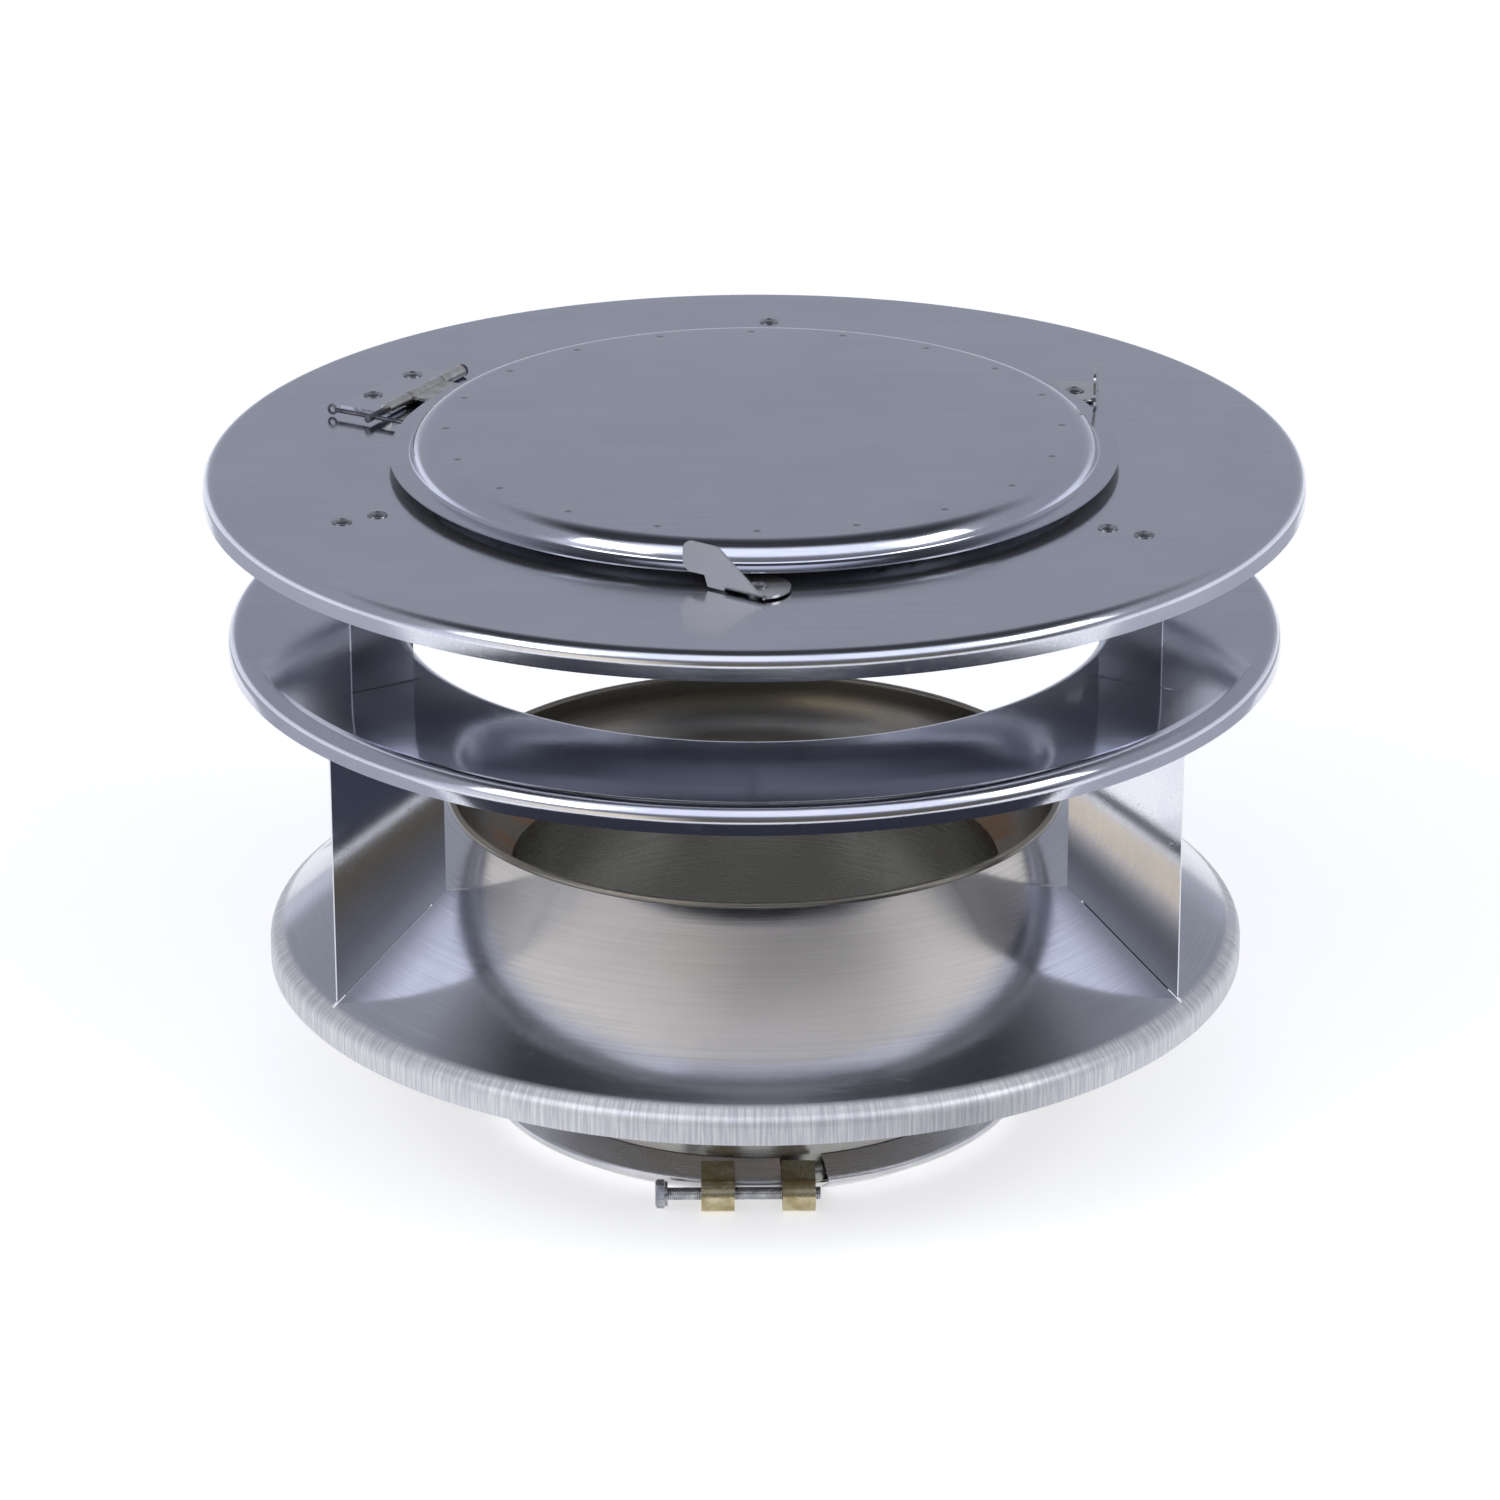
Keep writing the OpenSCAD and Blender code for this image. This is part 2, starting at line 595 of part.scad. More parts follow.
base_pipe();
throat();
skirt();
strut(0);  // strut_back
strut(1);  // strut_left
strut(2);  // strut_right
middle_ring();
top_plate();
strut_rivets();
plate_leaf();
leaf_rivets();
hinge_pin();
split_pin();
lid_leaf();
lid_dome();
lid_hoop();
latch(latch_az[0]);  // latch_front
latch(latch_az[1]);  // latch_right
latch_rivets();
latch_washers();
clamp_band();
ear(-1);  // ear_left
ear(1);  // ear_right
bush(-1, bolt_r + 0.08);  // ear_bush
bush(1, bolt_r + fit);  // ear_nut
bolt_washer();
clamp_bolt();
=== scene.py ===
import math

import bpy
from mathutils import Matrix, Vector


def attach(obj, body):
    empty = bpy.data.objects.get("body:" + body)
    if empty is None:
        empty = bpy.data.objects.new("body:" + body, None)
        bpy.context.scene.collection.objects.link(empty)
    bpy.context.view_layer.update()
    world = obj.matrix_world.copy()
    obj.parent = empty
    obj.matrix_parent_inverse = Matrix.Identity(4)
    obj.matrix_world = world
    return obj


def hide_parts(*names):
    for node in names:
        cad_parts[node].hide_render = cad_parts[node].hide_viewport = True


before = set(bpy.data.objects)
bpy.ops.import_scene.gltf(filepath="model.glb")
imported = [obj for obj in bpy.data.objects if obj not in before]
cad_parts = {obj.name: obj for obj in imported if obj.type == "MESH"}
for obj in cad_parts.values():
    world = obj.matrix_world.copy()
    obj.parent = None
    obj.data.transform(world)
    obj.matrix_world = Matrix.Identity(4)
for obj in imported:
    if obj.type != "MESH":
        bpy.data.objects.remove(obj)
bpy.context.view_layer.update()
scene = bpy.context.scene
scene.view_settings.view_transform = "Standard"
print("frame loaded:", len(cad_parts), "nodes")

# the photograph's viewpoint, in metres and degrees
cameraSettings = {"place": (-0.0201, -2.3097, 1.0749), "pitch": 21.821, "yaw": 0.450, "roll": -0.151,
                  "lens": 146.7, "sensor": 36, "far": 50}


def setCamera(s):
    turn = (Matrix.Rotation(math.radians(-s["yaw"]), 3, "Z")
            @ Matrix.Rotation(math.radians(90 - s["pitch"]), 3, "X")
            @ Matrix.Rotation(math.radians(s["roll"]), 3, "Z"))
    bpy.ops.object.camera_add(location=s["place"], rotation=turn.to_euler())
    camera = bpy.context.active_object
    camera.data.lens = s["lens"]
    camera.data.sensor_width = s["sensor"]
    camera.data.clip_end = s["far"]
    scene.camera = camera


setCamera(cameraSettings)
print("camera set")


# shader nodes: every pattern is laid out in millimetres of the real part

def linear(hexColour):
    parts = [int(hexColour[i:i + 2], 16) / 255 for i in (1, 3, 5)]
    return tuple(c / 12.92 if c <= 0.04045 else ((c + 0.055) / 1.055) ** 2.4 for c in parts) + (1.0,)


def addNode(tree, kind, settings=None, links=None):
    # settings: attribute names, or input numbers and names; links: input -> output socket
    node = tree.nodes.new(kind)
    for key, value in (settings or {}).items():
        if isinstance(key, str) and hasattr(node, key):
            setattr(node, key, value)
        else:
            node.inputs[key].default_value = value
    for key, source in (links or {}).items():
        tree.links.new(source, node.inputs[key])
    return node


def calc(tree, operation, *values):
    numbers = {i: value for i, value in enumerate(values) if isinstance(value, (int, float))}
    sockets = {i: value for i, value in enumerate(values) if i not in numbers}
    return addNode(tree, "ShaderNodeMath", {"operation": operation, **numbers}, sockets).outputs[0]


def mapped(tree, source, low, high, toLow=0.0, toHigh=1.0):
    limits = {"From Min": low, "From Max": high, "To Min": toLow, "To Max": toHigh}
    return addNode(tree, "ShaderNodeMapRange", limits, {"Value": source}).outputs["Result"]


def blend(tree, share, first, second):
    # first and second: a hex colour or an output socket
    node = addNode(tree, "ShaderNodeMix", {"data_type": "RGBA"}, {0: share})
    for place, value in ((6, first), (7, second)):
        if isinstance(value, str):
            node.inputs[place].default_value = linear(value)
        else:
            tree.links.new(value, node.inputs[place])
    return node.outputs[2]


def mixed(tree, share, first, second):
    # plain numbers; first: an output socket, second: a number
    return addNode(tree, "ShaderNodeMix", {3: second}, {0: share, 2: first}).outputs[0]


def noise(tree, vector, size, detail=3.0):
    # size: the width of one cloud in millimetres
    settings = {"Scale": 1000 / size, "Detail": detail}
    return addNode(tree, "ShaderNodeTexNoise", settings, {"Vector": vector}).outputs["Fac"]


def stretched(tree, vector, scale):
    return addNode(tree, "ShaderNodeMapping", {"Scale": scale}, {"Vector": vector}).outputs[0]


def parted(tree, vector):
    return addNode(tree, "ShaderNodeSeparateXYZ", {}, {0: vector}).outputs


def joined(tree, x, y, z):
    return addNode(tree, "ShaderNodeCombineXYZ", {}, {0: x, 1: y, 2: z}).outputs[0]


def distance(tree, x, y):
    squares = [calc(tree, "POWER", value, 2) for value in (x, y)]
    return calc(tree, "SQRT", calc(tree, "ADD", *squares))


# the circle, in metres of radius, on which the way round the axis is measured
wayRadius = 0.2


def around(tree, place):
    # distance from the axis, way round it and height, all in metres, and the angle
    axes = parted(tree, place)
    angle = calc(tree, "ARCTAN2", axes[1], axes[0])
    return distance(tree, axes[0], axes[1]), calc(tree, "MULTIPLY", angle, wayRadius), axes[2], angle


def startMaterial(name, colour, roughness, metallic=1.0):
    material = bpy.data.materials.new(name)
    material.use_nodes = True
    tree = material.node_tree
    shader = tree.nodes["Principled BSDF"]
    shader.inputs["Base Color"].default_value = linear(colour)
    shader.inputs["Metallic"].default_value = metallic
    shader.inputs["Roughness"].default_value = roughness
    place = addNode(tree, "ShaderNodeTexCoord").outputs["Object"]
    return material, tree, shader, place


def finishMaterial(tree, shader, tone, rough, relief, depth):
    # depth: millimetres between the black and the white of the relief
    tree.links.new(tone, shader.inputs["Base Color"])
    tree.links.new(rough, shader.inputs["Roughness"])
    bump = addNode(tree, "ShaderNodeBump", {"Distance": depth / 1000}, {"Height": relief})
    tree.links.new(bump.outputs["Normal"], shader.inputs["Normal"])


# what the sheets have in common: the sizes of a noise in millimetres, ranges of a distance in metres
grain = {"rolled": (0.012, 1.0, 1.0), "spun": 0.01, "range": (0.3, 0.7), "sumRange": (0.8, 1.2),
         "lineDetail": 2.0, "scratch": (0.03, 1.0, 0.4), "scratchSize": 1.1, "scratchDetail": 1.0,
         "scratchRange": (0.70, 0.74), "scratchRough": 0.05}
spotLook = {"range": (0.0009, 0.0019), "colour": "#5C5A58", "share": 0.6, "relief": 30}
hatchLook = {"along": 0.05, "size": 1.1, "range": (0.4, 0.62), "rough": 0.3, "ground": "#C8C9CD",
             "groundShare": 0.8, "mark": "#F2F1EE", "markShare": 0.7, "relief": 6, "metallic": 0.45}
weldLook = {"range": (0.0012, 0.006), "patch": 40, "patchRange": (0.42, 0.62), "tint": "#A9713C",
            "share": 0.75}
underRange = (-0.3, -0.8)


def sheetFinish(s):
    # stainless sheet: clouds from the roll, fine lines along the rolling or the spinning, stray scratches
    material, tree, shader, place = startMaterial(s["name"], s["colour"], s["roughness"])
    radius, way, height, angle = around(tree, place)
    if s["spun"]:
        lay = joined(tree, radius, calc(tree, "MULTIPLY", way, grain["spun"]), height)
    else:
        lay = stretched(tree, place, grain["rolled"])
    clouds = noise(tree, place, s["cloud"])
    lines = noise(tree, lay, s["line"], grain["lineDetail"])
    strays = noise(tree, stretched(tree, place, grain["scratch"]), grain["scratchSize"],
                   grain["scratchDetail"])
    scratches = mapped(tree, strays, *grain["scratchRange"])
    cloudy = mapped(tree, clouds, *grain["range"], s["roughness"] - s["spread"],
                    s["roughness"] + s["spread"])
    lined = mapped(tree, lines, *grain["range"], -s["spread"], s["spread"])
    scratched = calc(tree, "MULTIPLY", scratches, grain["scratchRough"])
    rough = calc(tree, "ADD", cloudy, calc(tree, "ADD", lined, scratched))
    shaded = mapped(tree, calc(tree, "ADD", clouds, lines), *grain["sumRange"])
    tone = blend(tree, shaded, s["colour"], s["shade"])
    relief = lines
    if "spots" in s:
        # spot welds of the hoop below: small dull dimples on one circle
        circle = s["spots"]["r"] / 1000
        step = 2 * math.pi / s["spots"]["count"]
        side = calc(tree, "MULTIPLY", calc(tree, "PINGPONG", angle, step / 2), circle)
        reach = distance(tree, side, calc(tree, "SUBTRACT", radius, circle))
        spot = mapped(tree, reach, *spotLook["range"], 1.0, 0.0)
        tone = blend(tree, calc(tree, "MULTIPLY", spot, spotLook["share"]), tone, spotLook["colour"])
        relief = calc(tree, "SUBTRACT", relief, calc(tree, "MULTIPLY", spot, spotLook["relief"]))
    if "hatch" in s:
        # the rounded edge was ground by hand, so it is covered with short radial scratches
        zone = mapped(tree, radius, s["hatch"]["from"] / 1000, s["hatch"]["to"] / 1000)
        drawn = [calc(tree, "MULTIPLY", value, hatchLook["along"]) for value in (radius, height)]
        strokes = noise(tree, joined(tree, way, *drawn), hatchLook["size"])
        marks = calc(tree, "MULTIPLY", mapped(tree, strokes, *hatchLook["range"]), zone)
        rough = calc(tree, "ADD", rough, calc(tree, "MULTIPLY", zone, hatchLook["rough"]))
        tone = blend(tree, calc(tree, "MULTIPLY", zone, hatchLook["groundShare"]), tone, hatchLook["ground"])
        tone = blend(tree, calc(tree, "MULTIPLY", marks, hatchLook["markShare"]), tone, hatchLook["mark"])
        relief = calc(tree, "ADD", relief, calc(tree, "MULTIPLY", marks, hatchLook["relief"]))
        # so many scratches scatter the light from all sides
        tree.links.new(mapped(tree, zone, 0, 1, 1.0, hatchLook["metallic"]), shader.inputs["Metallic"])
    if "weld" in s:
        # heat tint on both sides of the weld, in patches
        off = calc(tree, "ABSOLUTE", calc(tree, "SUBTRACT", height, s["weld"] / 1000))
        patch = noise(tree, joined(tree, way, height, radius), weldLook["patch"])
        near = calc(tree, "MULTIPLY", mapped(tree, off, *weldLook["range"], 1.0, 0.0),
                    mapped(tree, patch, *weldLook["patchRange"]))
        tone = blend(tree, calc(tree, "MULTIPLY", near, weldLook["share"]), tone, weldLook["tint"])
    if "under" in s:
        # the lower face kept the dull skin of the mill, in a belt of 2 x half around r; the paler, warmer
        # colour it gets there is, on the ring's underside, a painted reflection of the warm room in front
        facing = parted(tree, addNode(tree, "ShaderNodeNewGeometry").outputs["Normal"])
        off = calc(tree, "ABSOLUTE", calc(tree, "SUBTRACT", radius, s["under"]["r"] / 1000))
        down = calc(tree, "MULTIPLY", mapped(tree, facing[2], *underRange),
                    calc(tree, "LESS_THAN", off, s["under"]["half"] / 1000))
        tone = blend(tree, down, tone, s["under"]["colour"])
        rough = mixed(tree, down, rough, s["under"]["roughness"])
    finishMaterial(tree, shader, tone, rough, relief, s["depth"])
    return material


# what the hardware has in common: its fine grain in millimetres, what that takes from the roughness and
# adds to it, the height over which the polish ends, in metres, and the relief of the thread
steelGrain = {"detail": 5.0, "range": (0.35, 0.65), "fine": 0.5, "sumRange": (0.7, 1.3),
              "smoother": -0.07, "rougher": 0.1, "fade": 0.0004, "thread": 12}


def steelFinish(s):
    # small hardware: mottled by its plating or by heat, dull where it was tooled
    material, tree, shader, place = startMaterial(s["name"], s["colour"], s["roughness"])
    axes = parted(tree, place)
    mottle = noise(tree, place, s["mottle"], steelGrain["detail"])
    fine = noise(tree, place, steelGrain["fine"])
    tone = blend(tree, mapped(tree, mottle, *steelGrain["range"]), s["colour"], s["shade"])
    rough = mapped(tree, calc(tree, "ADD", mottle, fine), *steelGrain["sumRange"],
                   s["roughness"] + steelGrain["smoother"], s["roughness"] + steelGrain["rougher"])
    relief = fine
    if "bright" in s:
        # the flat leaf kept the polish of the sheet, only the rolled knuckles above it are dull
        edge = s["bright"]["below"] / 1000
        flat = mapped(tree, axes[2], edge, edge - steelGrain["fade"])
        tone = blend(tree, flat, tone, s["bright"]["colour"])
        rough = mixed(tree, flat, rough, s["bright"]["roughness"])
    if "thread" in s:
        # ridges of the M5 thread along the shank, none on the head
        ridge = calc(tree, "PINGPONG", calc(tree, "MULTIPLY", axes[0], 1000), s["thread"]["pitch"] / 2)
        shank = calc(tree, "GREATER_THAN", axes[0], s["thread"]["from"] / 1000)
        relief = calc(tree, "MULTIPLY", calc(tree, "MULTIPLY", ridge, shank), steelGrain["thread"])
    finishMaterial(tree, shader, tone, rough, relief, s["depth"])
    return material


# cloud, line, mottle and depth in millimetres
plateSettings = {"name": "bright_plate", "colour": "#D6D8DE", "shade": "#CDD0D8", "roughness": 0.15,
                 "spread": 0.025, "cloud": 45, "line": 0.7, "depth": 0.003, "spun": False}
lidSettings = {"name": "bright_lid", "colour": "#D4D6DD", "shade": "#CBCED7", "roughness": 0.115,
               "spread": 0.03, "cloud": 38, "line": 0.7, "depth": 0.003, "spun": False,
               "spots": {"count": 20, "r": 122.8},
               "under": {"colour": "#ECEAE4", "roughness": 0.5, "r": 142, "half": 5}}
# the ring's underside colour is a painted reflection of the warm room in front, its roughness the dull mill
# skin
ringSettings = {"name": "bright_ring", "colour": "#D0D1D8", "shade": "#C7C9D1", "roughness": 0.1,
                "spread": 0.02, "cloud": 50, "line": 0.7, "depth": 0.003, "spun": False,
                "under": {"colour": "#F9F3E8", "roughness": 0.4, "r": 170, "half": 30}}
coneSettings = {"name": "spun_cone", "colour": "#D0D1D6", "shade": "#C7C8CD", "roughness": 0.12,
                "spread": 0.02, "cloud": 40, "line": 0.9, "depth": 0.004, "spun": True,
                "hatch": {"from": 192.5, "to": 195}}
# the throat's dark grey colour is painted shade of the hollow under the ring; its satin finish is in the
# roughness
throatSettings = {"name": "satin_throat_painted_shade", "colour": "#918D84", "shade": "#8B877E", "roughness": 0.3,
                  "spread": 0.02, "cloud": 22, "line": 0.9, "depth": 0.002, "spun": True, "weld": 104}
pipeSettings = {"name": "satin_pipe", "colour": "#A5A4A0", "shade": "#9F9E9A", "roughness": 0.27,
                "spread": 0.02, "cloud": 22, "line": 0.9, "depth": 0.002, "spun": True, "weld": 101}
bandSettings = {"name": "satin_band", "colour": "#DCDCDE", "shade": "#CDCDD0", "roughness": 0.3,
                "spread": 0.03, "cloud": 14, "line": 0.8, "depth": 0.002, "spun": True}
strutSettings = {"name": "mirror_strut", "colour": "#DFE0E4", "shade": "#D6D8DE", "roughness": 0.07,
                 "spread": 0.012, "cloud": 30, "line": 0.6, "depth": 0.002, "spun": False}
latchSettings = {"name": "brushed_latch", "colour": "#DFDEDB", "shade": "#D6D5D2", "roughness": 0.2,
                 "spread": 0.012, "cloud": 8, "line": 0.5, "depth": 0.004, "spun": False}
rivetSettings = {"name": "rivet_steel", "colour": "#C6C6C8", "shade": "#8F8F92", "roughness": 0.22,
                 "mottle": 3, "depth": 0.01}
hingeSettings = {"name": "hinge_steel", "colour": "#DEDCD4", "shade": "#C3C1B8", "roughness": 0.26,
                 "mottle": 5, "depth": 0.005,
                 "bright": {"below": 278, "colour": "#D6D8DE", "roughness": 0.17}}
pinSettings = {"name": "dark_pin_steel", "colour": "#77767C", "shade": "#4F4F55", "roughness": 0.35,
               "mottle": 4, "depth": 0.01}
strapSettings = {"name": "heat_tinted_strap", "colour": "#CBC2A2", "shade": "#A99C74",
                 "roughness": 0.28, "mottle": 6, "depth": 0.012}
bushSettings = {"name": "turned_bush", "colour": "#6E6A62", "shade": "#524E47", "roughness": 0.4,
                "mottle": 4, "depth": 0.012}
boltSettings = {"name": "plated_bolt", "colour": "#B9BBBF", "shade": "#989A9E", "roughness": 0.25,
                "mottle": 4, "depth": 0.02, "thread": {"pitch": 0.8, "from": -37.5}}

sheetSettings = (plateSettings, lidSettings, ringSettings, coneSettings, throatSettings, pipeSettings,
                 bandSettings, strutSettings, latchSettings)
(plateFinish, lidFinish, ringFinish, coneFinish, throatFinish, pipeFinish, bandFinish, strutFinish,
 latchFinish) = [sheetFinish(s) for s in sheetSettings]
steelSettings = (rivetSettings, hingeSettings, pinSettings, strapSettings, bushSettings, boltSettings)
rivetFinish, hingeFinish, pinFinish, strapFinish, bushFinish, boltFinish = [
    steelFinish(s) for s in steelSettings]
print("materials made")


# pieces carried over from the frame: a finish each, and a broken edge in millimetres where it was cut
carried = {"strut_back": (strutFinish, 0), "strut_left": (strutFinish, 0), "strut_right": (strutFinish, 0),
           "strut_rivets": (rivetFinish, 0), "plate_leaf": (hingeFinish, 0.15),
           "leaf_rivets": (rivetFinish, 0), "hinge_pin": (pinFinish, 0), "split_pin": (pinFinish, 0),
           "lid_leaf": (hingeFinish, 0.15), "latch_front": (latchFinish, 0.15),
           "latch_right": (latchFinish, 0.15), "latch_rivets": (rivetFinish, 0),
           "latch_washers": (rivetFinish, 0.1), "ear_left": (strapFinish, 0.15),
           "ear_right": (strapFinish, 0.15), "ear_bush": (bushFinish, 0.2), "ear_nut": (bushFinish, 0.2),
           "bolt_washer": (rivetFinish, 0.15), "clamp_bolt": (boltFinish, 0.15)}
bevelSegments = 2
bevelAngle = 50


def wear(node, material, edge):
    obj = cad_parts[node]
    obj.data.materials.clear()
    obj.data.materials.append(material)
    if edge:
        bevel = obj.modifiers.new("broken_edge", "BEVEL")
        bevel.width, bevel.segments, bevel.limit_method = edge / 1000, bevelSegments, "ANGLE"
        bevel.angle_limit = math.radians(bevelAngle)
        bevel.harden_normals = False


for node, (material, edge) in carried.items():
    wear(node, material, edge)
print("carried pieces dressed:", len(carried))


# sheet pieces: a profile line in millimetres, turned round the axis, then given its wall
roundSteps = 192
seedSize = 0.001
mergeDistance = 0.000005
smoothAngle = 35
strutAzimuths = (90, 210, 330)


def deselectAll():
    if bpy.context.object and bpy.context.object.mode != "OBJECT":
        bpy.ops.object.mode_set(mode="OBJECT")
    bpy.ops.object.select_all(action="DESELECT")


def arcLine(centre, radius, start, end, steps):
    angles = [math.radians(start + (end - start) * i / steps) for i in range(steps + 1)]
    return [(centre[0] + radius * math.cos(a), centre[1] + radius * math.sin(a)) for a in angles]


def drawLine(name, points):
    # one vertex, pushed along the profile step by step
    deselectAll()
    first = points[0]
    bpy.ops.mesh.primitive_plane_add(size=seedSize, location=(first[0] / 1000, 0, first[1] / 1000))
    obj = bpy.context.active_object
    obj.name = obj.data.name = name
    bpy.ops.object.mode_set(mode="EDIT")
    bpy.ops.mesh.select_all(action="SELECT")
    bpy.ops.mesh.merge(type="CENTER")
    for before, after in zip(points, points[1:]):
        step = ((after[0] - before[0]) / 1000, 0, (after[1] - before[1]) / 1000)
        bpy.ops.mesh.extrude_region_move(TRANSFORM_OT_translate={"value": step})
    return obj


def lathe(name, points, wall, turn=360, start=0):
    obj = drawLine(name, points)
    bpy.ops.mesh.select_all(action="SELECT")
    if start:
        bpy.ops.transform.rotate(value=math.radians(-start), orient_axis="Z", center_override=(0, 0, 0))
    bpy.ops.mesh.spin(steps=roundSteps, angle=math.radians(turn), center=(0, 0, 0), axis=(0, 0, 1))
    bpy.ops.mesh.select_all(action="SELECT")
    bpy.ops.mesh.remove_doubles(threshold=mergeDistance)
    bpy.ops.mesh.normals_make_consistent(inside=False)
    bpy.ops.object.mode_set(mode="OBJECT")
    bpy.ops.object.transform_apply(location=True, rotation=True, scale=True)
    sheet = obj.modifiers.new("sheet", "SOLIDIFY")
    sheet.thickness, sheet.offset, sheet.use_even_offset = wall / 1000, 0, True
    bpy.ops.object.modifier_apply(modifier=sheet.name)
    return obj


def cutSlits(obj, s):
    # one long box per strut, cut out of the turned sheet
    middle = (s["in"] + s["out"]) / 2000
    for azimuth in strutAzimuths:
        deselectAll()
        turn = math.radians(azimuth)
        place = (middle * math.cos(turn), middle * math.sin(turn), s["z"] / 1000)
        bpy.ops.mesh.primitive_cube_add(size=1, location=place, rotation=(0, 0, turn))
        cutter = bpy.context.active_object
        cutter.scale = ((s["out"] - s["in"]) / 1000, s["w"] / 1000, s["h"] / 1000)
        bpy.ops.object.transform_apply(location=True, rotation=True, scale=True)
        bpy.context.view_layer.objects.active = obj
        slit = obj.modifiers.new("slit", "BOOLEAN")
        slit.operation, slit.solver, slit.object = "DIFFERENCE", "EXACT", cutter
        bpy.ops.object.modifier_apply(modifier=slit.name)
        bpy.data.objects.remove(cutter, do_unlink=True)


def dress(obj, material, body, node):
    deselectAll()
    obj.select_set(True)
    bpy.context.view_layer.objects.active = obj
    bpy.ops.object.shade_smooth_by_angle(angle=math.radians(smoothAngle))
    obj.data.materials.clear()
    obj.data.materials.append(material)
    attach(obj, body)
    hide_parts(node)


# rows: extra points on the straight parts of a profile, so that its faces don't get too long
# names that end in Steps: how many pieces an arc of the profile is made of
basePipe = {"r": 100.4, "foot": 2, "rows": (16, 45, 75), "top": 101.78, "bead": 4, "beadZ": 7.384,
            "beadSteps": 14, "wall": 0.8}


def makeBasePipe(s):
    line = [(s["r"], s["foot"])] + arcLine((s["r"], s["beadZ"]), s["bead"], -90, 90, s["beadSteps"])
    line += [(s["r"], z) for z in s["rows"] + (s["top"],)]
    obj = lathe("base_pipe_sheet", line, s["wall"])
    dress(obj, pipeFinish, "cap", "base_pipe")


throat = {"centre": (91.438, 132.459), "r": 31.462, "slope": 16, "bowlSteps": 26, "top": 134.5,
          "tuck": 0.6, "beadR": 1.5, "beadSteps": 16, "mouth": 124, "wall": 0.8}


def makeThroat(s):
    line = arcLine(s["centre"], s["r"], s["slope"] - 90, 0, s["bowlSteps"])
    line += [(s["centre"][0] + s["r"], s["top"] - s["tuck"])]
    obj = lathe("throat_sheet", line, s["wall"])
    deselectAll()
    bpy.ops.mesh.primitive_torus_add(major_segments=roundSteps, minor_segments=s["beadSteps"],
                                     major_radius=s["mouth"] / 1000, minor_radius=s["beadR"] / 1000,
                                     location=(0, 0, s["top"] / 1000))
    bpy.ops.object.transform_apply(location=True, rotation=True, scale=True)
    obj.select_set(True)
    bpy.context.view_layer.objects.active = obj
    bpy.ops.object.join()
    dress(obj, throatFinish, "cap", "throat")


skirt = {"start": (125.06, 133.18), "low": (196.416, 78.227), "rows": (0.25, 0.5, 0.75),
         "edge": (193, 73.79), "bend": 5.6, "bendSteps": 10, "slope": 37.6, "lip": 66.89, "wall": 0.8,
         "slit": {"in": 149, "out": 194.5, "w": 1.8, "z": 97, "h": 45}}


def makeSkirt(s):
    # here the rows are shares of the cone's length
    line = [s["start"]]
    line += [tuple(a + (b - a) * share for a, b in zip(s["start"], s["low"])) for share in s["rows"]]
    line += arcLine(s["edge"], s["bend"], 90 - s["slope"], 0, s["bendSteps"])
    line += [(s["edge"][0] + s["bend"], s["lip"])]
    obj = lathe("skirt_sheet", line, s["wall"])
    cutSlits(obj, s["slit"])
    dress(obj, coneFinish, "cap", "skirt")


middleRing = {"hole": 140.5, "lip": 5.5, "lipSteps": 10, "face": 211.5, "rows": (170, 190), "rim": 212,
              "bend": 7, "bendSteps": 16, "drop": 11, "wall": 0.8,
              "slit": {"in": 154, "out": 186.5, "w": 1.8, "z": 211, "h": 6}}


def rimLine(s):
    # the flat face with its rows, the rounded rim and the drop at its end
    half = s["wall"] / 2
    line = [(r, s["face"] - half) for r in s["rows"]]
    centre = (s["rim"] - s["bend"], s["face"] - s["bend"])
    line += arcLine(centre, s["bend"] - half, 90, 0, s["bendSteps"])
    return line + [(s["rim"] - half, s["face"] - s["drop"])]


def makeMiddleRing(s):
    centre = (s["hole"] + s["lip"], s["face"] - s["lip"])
    line = arcLine(centre, s["lip"] - s["wall"] / 2, 180, 90, s["lipSteps"]) + rimLine(s)
    obj = lathe("middle_ring_sheet", line, s["wall"])
    cutSlits(obj, s["slit"])
    dress(obj, ringFinish, "cap", "middle_ring")


topPlate = {"rim": 220, "face": 276, "rows": (150, 180, 205), "bend": 6, "bendSteps": 16, "drop": 11,
            "collar": 120.984, "collarBend": 3, "collarSteps": 10, "collarTop": 287.9, "wall": 0.8}


def makeTopPlate(s):
    half = s["wall"] / 2
    centre = (s["collar"] + s["collarBend"], s["face"] + s["collarBend"])
    line = [(s["collar"] - half, s["collarTop"])]
    line += arcLine(centre, s["collarBend"] + half, 180, 270, s["collarSteps"]) + rimLine(s)
    obj = lathe("top_plate_sheet", line, s["wall"])
    dress(obj, plateFinish, "cap", "top_plate")


lidDome = {"top": 288.8, "rows": (0, 40, 90), "domeIn": 127.484, "domeR": 10, "domeSteps": 12,
           "fillet": (138.5, 282.1), "footR": 1.5, "footSteps": 8, "angle": 16.68, "edge": 145.5,
           "wall": 0.6}


def makeLidDome(s):
    half = s["wall"] / 2
    line = [(r, s["top"] - half) for r in s["rows"]]
    centre = (s["domeIn"], s["top"] - s["domeR"])
    line += arcLine(centre, s["domeR"] - half, 90, s["angle"], s["domeSteps"])
    line += arcLine(s["fillet"], s["footR"] + half, 180 + s["angle"], 270, s["footSteps"])[1:]
    line += [(s["edge"], s["fillet"][1] - s["footR"] - half)]
    obj = lathe("lid_dome_sheet", line, s["wall"])
    dress(obj, lidFinish, "lid", "lid_dome")


lidHoop = {"r": 122.784, "low": 280.45, "high": 288.15, "wall": 0.6}


def makeLidHoop(s):
    obj = lathe("lid_hoop_strip", [(s["r"], s["low"]), (s["r"], s["high"])], s["wall"])
    dress(obj, bandFinish, "lid", "lid_hoop")


